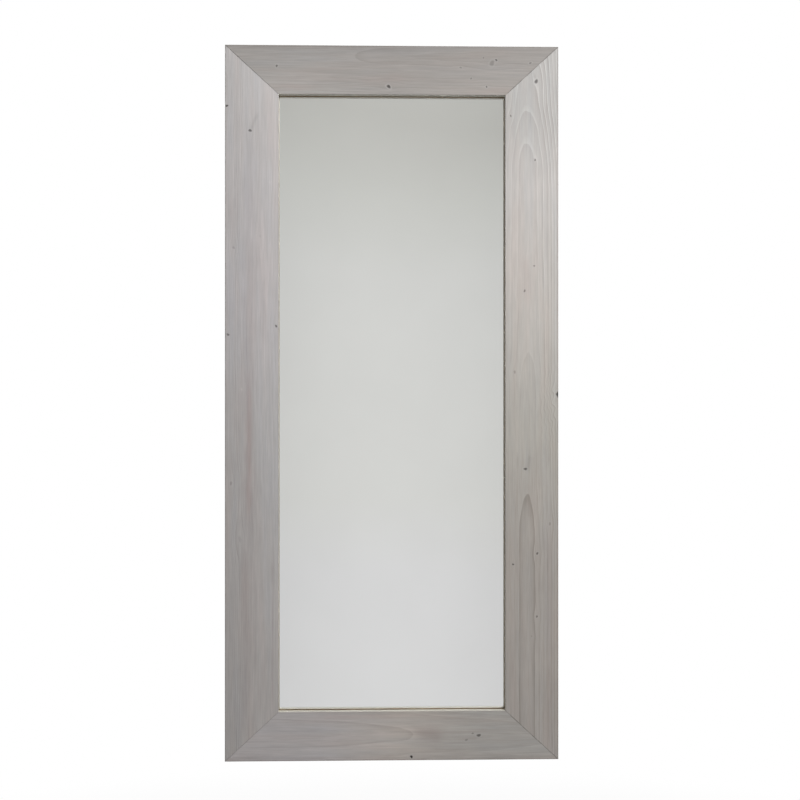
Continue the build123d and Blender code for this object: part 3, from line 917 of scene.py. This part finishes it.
# %% The wood's surface
sheen = ramp(wood, patches, [(0.3, 0.56), (0.7, 0.70)])
sheen = blend(wood, ring_line, sheen, grey(0.5))
join(wood, sheen, wood_shader.inputs["Roughness"])
wood_shader.inputs["Specular IOR Level"].default_value = 0.35
relief = sums(wood, "ADD", sums(wood, "MULTIPLY", fibres, 0.5), sums(wood, "MULTIPLY", pores, 0.25))
relief = sums(wood, "ADD", relief, sums(wood, "MULTIPLY", ring_line, 0.45))
raise_surface(wood, wood_shader, relief, 0.22 * MM, 0.8)
for node, piece in boards.items():
    piece.data.materials.append(wood)
print("wood finish:", len(wood.node_tree.nodes), "nodes")

# %% [markdown]
# ## Glass, silver and backing paint
#
# Float glass is clear with a green cast that shows at its edges. Silvering reflects almost nine
# tenths of the light. The paint behind it is a dull grey-green lacquer, poured on in a curtain,
# so it has faint streaks. Each is nearly uniform, and it is the faint variation that makes it
# look like a made thing: a haze on the glass and tiny waves in the lacquer.

# %% The pane's finishes
clear_glass, shader = new_finish("float_glass")
shader.inputs["Transmission Weight"].default_value = 1.0
shader.inputs["IOR"].default_value = 1.52
shader.inputs["Base Color"].default_value = (0.985, 0.988, 0.984, 1)
haze = cloud(clear_glass, object_places(clear_glass), 60 * MM, 4.0)
join(clear_glass, ramp(clear_glass, haze, [(0.4, 0.0), (0.8, 0.006)]), shader.inputs["Roughness"])
glass.data.materials.append(clear_glass)

silver, shader = new_finish("mirror_silver")
shader.inputs["Metallic"].default_value = 1.0
shader.inputs["Roughness"].default_value = 0.0
bloom = cloud(silver, object_places(silver), 180 * MM, 2.0)
silver_colours = [(0.35, (0.915, 0.915, 0.910)), (0.65, (0.930, 0.930, 0.925))]
join(silver, ramp(silver, bloom, silver_colours), shader.inputs["Base Color"])

lacquer, shader = new_finish("mirror_backing_paint")
streaks = cloud(lacquer, object_places(lacquer), (4 * MM, 4 * MM, 220 * MM), 3.0)
lacquer_colours = [(0.3, (0.16, 0.185, 0.18)), (0.7, (0.20, 0.225, 0.215))]
join(lacquer, ramp(lacquer, streaks, lacquer_colours), shader.inputs["Base Color"])
join(lacquer, ramp(lacquer, streaks, [(0.3, 0.42), (0.7, 0.55)]), shader.inputs["Roughness"])
raise_surface(lacquer, shader, streaks, 0.05 * MM)

coating.data.materials.append(lacquer)
coating.data.materials.append(silver)
for face in coating.data.polygons:
    face.material_index = 1 if face.normal.y < -0.9 else 0
print("coating faces:", [face.material_index for face in coating.data.polygons])

# %% [markdown]
# ## Foam, rubber and fibreboard
#
# These parts keep their CAD shape, because it is right, and only get their finish. Foam is all
# cells, moulded rubber has a fine skin with a dusty bloom, and hardboard is pressed from brown
# fibres that still show as short flecks.

# %% Soft parts and the backing board
def dress(finish, *names):
    """Gives the finish to the CAD nodes whose names start with one of these words."""
    for name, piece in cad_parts.items():
        if name.startswith(names):
            piece.data.materials.clear()
            piece.data.materials.append(finish)


def cells(finish, size):
    """Round cells of this size, 0 at their middles and 1 at their walls."""
    fill = {"Vector": object_places(finish), "Scale": 1 / size}
    return add_node(finish, "ShaderNodeTexVoronoi", fill).outputs["Distance"]


def make_foam(name, dark, pale, *nodes):
    """A closed-cell foam between two colours."""
    foam, shader = new_finish(name)
    walls = cells(foam, 0.6 * MM)
    join(foam, ramp(foam, walls, [(0.1, dark), (0.7, pale)]), shader.inputs["Base Color"])
    join(foam, ramp(foam, walls, [(0.1, 0.95), (0.7, 0.8)]), shader.inputs["Roughness"])
    raise_surface(foam, shader, walls, 0.2 * MM)
    dress(foam, *nodes)


make_foam("black_glazing_foam", (0.030, 0.030, 0.031), (0.075, 0.075, 0.076), "glazing_tape")
make_foam("white_cushion_foam", (0.62, 0.63, 0.63), (0.80, 0.80, 0.79), "cushion_sheet")

rubber, shader = new_finish("black_moulded_rubber")
dust = cloud(rubber, object_places(rubber), 5 * MM, 5.0)
skin = cloud(rubber, object_places(rubber), 0.5 * MM, 2.0)
rubber_colours = [(0.35, (0.018, 0.018, 0.019)), (0.75, (0.060, 0.058, 0.055))]
join(rubber, ramp(rubber, dust, rubber_colours), shader.inputs["Base Color"])
join(rubber, ramp(rubber, dust, [(0.3, 0.55), (0.7, 0.8)]), shader.inputs["Roughness"])
raise_surface(rubber, shader, skin, 0.06 * MM)
dress(rubber, "setting_blocks", "edge_spacers", "wall_bumper")

# %% The hardboard
hardboard, shader = new_finish("brown_hardboard")
places = object_places(hardboard)
flecks = cloud(hardboard, places, (5 * MM, 1 * MM, 1.1 * MM), 4.0)
specks = cloud(hardboard, places, 2.2 * MM, 3.0, 5.0)
broad = cloud(hardboard, places, 140 * MM, 3.0, 9.0)
board_colours = [(0.3, (0.150, 0.088, 0.048)), (0.55, (0.235, 0.145, 0.083)), (0.75, (0.33, 0.22, 0.135))]
board_colour = ramp(hardboard, flecks, board_colours)
board_colour = blend(hardboard, 1.0, board_colour, ramp(hardboard, specks, [(0.3, 0.86), (0.7, 1.1)]), "MULTIPLY")
board_colour = blend(hardboard, 1.0, board_colour, ramp(hardboard, broad, [(0.3, 0.9), (0.7, 1.08)]), "MULTIPLY")
join(hardboard, board_colour, shader.inputs["Base Color"])
join(hardboard, ramp(hardboard, specks, [(0.3, 0.5), (0.7, 0.68)]), shader.inputs["Roughness"])
raise_surface(hardboard, shader, flecks, 0.08 * MM)
dress(hardboard, "backing_board")

# %% The beech dowels
beech, shader = new_finish("beech_dowel")
rays = cloud(beech, object_places(beech), (0.8 * MM, 0.8 * MM, 3 * MM), 3.0)
beech_colours = [(0.3, (0.50, 0.33, 0.20)), (0.7, (0.66, 0.48, 0.31))]
join(beech, ramp(beech, rays, beech_colours), shader.inputs["Base Color"])
join(beech, ramp(beech, rays, [(0.3, 0.55), (0.7, 0.7)]), shader.inputs["Roughness"])
raise_surface(beech, shader, rays, 0.08 * MM)
dress(beech, "top_left_dowels", "top_right_dowels", "bottom_left_dowels", "bottom_right_dowels")

# %% [markdown]
# ## The metal fittings
#
# Zinc plating on sheet steel is a mottled blue-grey, and its frosty patches differ in brightness
# and in gloss. The screws are plated too, but yellower and duller with handling, with
# turning marks too fine to model. The wire of the rings is drawn and then nickel-plated, so it
# is smoother and slightly warm.

# %% Zinc, screws and wire
def make_metal(name, dark, pale, gloss, patch, scratch, depth, *nodes):
    """A plated metal between two colours, with patches and fine scratches of these sizes."""
    metal, shader = new_finish(name)
    shader.inputs["Metallic"].default_value = 1.0
    places = object_places(metal)
    mottle = cloud(metal, places, patch, 4.0)
    lines = cloud(metal, places, scratch, 2.0, 4.0)
    metal_colour = ramp(metal, mottle, [(0.32, dark), (0.68, pale)])
    metal_colour = blend(metal, 1.0, metal_colour, ramp(metal, lines, [(0.3, 0.93), (0.7, 1.05)]), "MULTIPLY")
    join(metal, metal_colour, shader.inputs["Base Color"])
    join(metal, ramp(metal, mottle, [(0.3, gloss[0]), (0.7, gloss[1])]), shader.inputs["Roughness"])
    raise_surface(metal, shader, lines, depth)
    dress(metal, *nodes)


fine = (3 * MM, 0.25 * MM, 0.25 * MM)
make_metal(
    "zinc_plated_sheet", (0.43, 0.45, 0.47), (0.66, 0.67, 0.68), (0.30, 0.46), 3 * MM, fine, 0.02 * MM,
    "corner_plate_top", "corner_plate_bottom", "hanger_strap", *[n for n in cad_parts
    if n.startswith("turn_button_") and n != "turn_button_screws"],
)
make_metal(
    "plated_screw_steel", (0.44, 0.42, 0.37), (0.62, 0.59, 0.52), (0.30, 0.42), 1.5 * MM, 0.2 * MM, 0.02 * MM,
    "corner_plate_screws", "turn_button_screws", "hanger_screws",
)
make_metal(
    "nickel_plated_wire", (0.60, 0.57, 0.52), (0.74, 0.71, 0.66), (0.16, 0.26), 2 * MM, 0.3 * MM, 0.01 * MM,
    "hanger_ring",
)
print("finishes:", sorted(m.name for m in bpy.data.materials if m.users))

# %% [markdown]
# ## Say what stands for what
#
# The new boards and the two parts of the pane replace their CAD nodes and ride on the frame.
# The turn buttons and the rings are CAD nodes that ride on bodies of their own already.

# %% Ride and replace
for node, piece in boards.items():
    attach(piece, "root")
    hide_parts(node)
for piece in (glass, coating):
    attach(piece, "root")
    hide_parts("mirror_pane")

# %% [markdown]
# ## The studio
#
# The photograph is lit softly from the upper right, and everything round the frame is white.
# What the mirror shows is the room in front of it: a grey that grows lighter downwards. So there
# is a pale floor below, a tube-shaped wall all round that only reflections see, with that
# grey on it, one large soft lamp and a weaker one behind for the back. White is what the camera
# sees past the object. It comes from the kind of ray and adds no light to the object.

# %% The floor
FLOOR = BOTTOM - 0.85


def seen_rays(finish):
    """1 for rays from the camera, off metal and through glass, and 0 for rays that carry light."""
    path = add_node(finish, "ShaderNodeLightPath", {}).outputs
    seen = sums(finish, "MAXIMUM", path["Is Camera Ray"], path["Is Glossy Ray"])
    return sums(finish, "MAXIMUM", seen, path["Is Transmission Ray"])


def mix_shaders(finish, amount, first, second):
    """Mixes two shaders."""
    return add_node(finish, "ShaderNodeMixShader", {0: amount, 1: first, 2: second}).outputs[0]


bpy.ops.object.select_all(action="DESELECT")
bpy.ops.mesh.primitive_plane_add(size=30, location=(0, 0, FLOOR))
floor = bpy.context.active_object
floor.name = "floor"
paper, shader = new_finish("white_paper_floor")
lit = add_node(paper, "ShaderNodeBsdfDiffuse", {"Color": grey(0.75)}).outputs[0]
lift = add_node(paper, "ShaderNodeEmission", {"Strength": 0.42}).outputs[0]
near_paper = add_node(paper, "ShaderNodeAddShader", {0: lit, 1: lift}).outputs[0]
far_paper = add_node(paper, "ShaderNodeEmission", {"Strength": 1.0}).outputs[0]
away = add_node(paper, "ShaderNodeVectorMath", {0: object_places(paper)}, operation="LENGTH").outputs["Value"]
fade = add_node(paper, "ShaderNodeMapRange", {0: away, 1: 1.3, 2: 3.2}, interpolation_type="SMOOTHSTEP")
seen_paper = mix_shaders(paper, fade.outputs[0], near_paper, far_paper)
surface = mix_shaders(paper, seen_rays(paper), lit, seen_paper)
join(paper, surface, paper.node_tree.nodes["Material Output"].inputs["Surface"])
floor.data.materials.append(paper)

# %% The wall that reflections see
WALL_RADIUS = 3.9
bpy.ops.object.select_all(action="DESELECT")
bpy.ops.mesh.primitive_cylinder_add(
    vertices=96, radius=WALL_RADIUS, depth=6, end_fill_type="NOTHING", location=(0, 0, FLOOR + 3)
)
wall = bpy.context.active_object
wall.name = "room_wall"
bpy.ops.object.transform_apply(location=True, rotation=True, scale=True)
wall.visible_camera = False
wall.visible_diffuse = False
wall.visible_shadow = False
room, shader = new_finish("room_wall_light")
height = add_node(room, "ShaderNodeSeparateXYZ", {0: object_places(room)}).outputs["Z"]
height = add_node(room, "ShaderNodeMapRange", {0: height, 1: -2.0, 2: 1.0}).outputs[0]
unevenness = cloud(room, object_places(room), 2.2, 1.0)
height = sums(room, "ADD", height, sums(room, "MULTIPLY", sums(room, "SUBTRACT", unevenness, 0.5), 0.25))
room_colours = [
    (0.0, (0.728, 0.728, 0.735)), (0.18, (0.722, 0.722, 0.728)), (0.30, (0.708, 0.710, 0.695)),
    (0.60, (0.702, 0.704, 0.690)), (0.72, (0.688, 0.690, 0.676)), (0.86, (0.622, 0.626, 0.602)),
    (0.98, (0.545, 0.543, 0.518)),
]
aside = add_node(room, "ShaderNodeSeparateXYZ", {0: object_places(room)}).outputs["X"]
aside = sums(room, "SUBTRACT", aside, 0.1)
dimmed = sums(room, "MULTIPLY", sums(room, "MULTIPLY", aside, aside), 0.3)
strength = sums(room, "MAXIMUM", sums(room, "SUBTRACT", 1.01, dimmed), 0.85)
fill = {"Color": ramp(room, height, room_colours), "Strength": strength}
glow = add_node(room, "ShaderNodeEmission", fill).outputs[0]
join(room, glow, room.node_tree.nodes["Material Output"].inputs["Surface"])
wall.data.materials.append(room)

# %% The lamps and the sky
def add_lamp(name, place, aim, size, power):
    """A square soft lamp that the camera and the glass don't see."""
    bpy.ops.object.light_add(type="AREA", location=place)
    lamp = bpy.context.active_object
    lamp.name = name
    lamp.data.shape = "SQUARE"
    lamp.data.size = size
    lamp.data.energy = power
    lamp.rotation_euler = (Vector(aim) - Vector(place)).to_track_quat("-Z", "Y").to_euler()
    lamp.visible_camera = False
    lamp.visible_transmission = False
    return lamp


add_lamp("key_lamp", (1.05, -2.0, 1.1), (0.15, 0, -0.1), 1.0, 75)
add_lamp("back_lamp", (-1.6, 2.3, 0.8), (0, 0, -0.45), 1.6, 56)
FILL = 0.20
sky = bpy.data.worlds.new("studio_sky")
bpy.context.scene.world = sky
sky.use_nodes = True
soft = sky.node_tree.nodes["Background"]
soft.inputs["Color"].default_value = grey(1.0)
soft.inputs["Strength"].default_value = FILL
white = add_node(sky, "ShaderNodeBackground", {"Color": grey(1.0), "Strength": 1.0}).outputs[0]
sky_light = mix_shaders(sky, seen_rays(sky), soft.outputs[0], white)
join(sky, sky_light, sky.node_tree.nodes["World Output"].inputs["Surface"])

# %% [markdown]
# ## The camera
#
# The edges of the photographed frame run together slightly, and their corners fix the camera:
# three metres in front of the frame, 70 mm to the left of its middle, turned 1.65 degrees to
# the right, with a lens of 64 mm. A small shift downwards keeps the uprights parallel.

# %% Camera and view
bpy.ops.object.camera_add(location=(-0.0697, FRONT - 3.0, BOTTOM + 0.79))
camera = bpy.context.active_object
camera.rotation_euler = (math.radians(90.092), 0, math.radians(-1.644))
camera.data.lens = 64.349
camera.data.sensor_width = 36
camera.data.shift_y = -0.0230
bpy.context.scene.camera = camera
bpy.context.scene.view_settings.view_transform = "Standard"
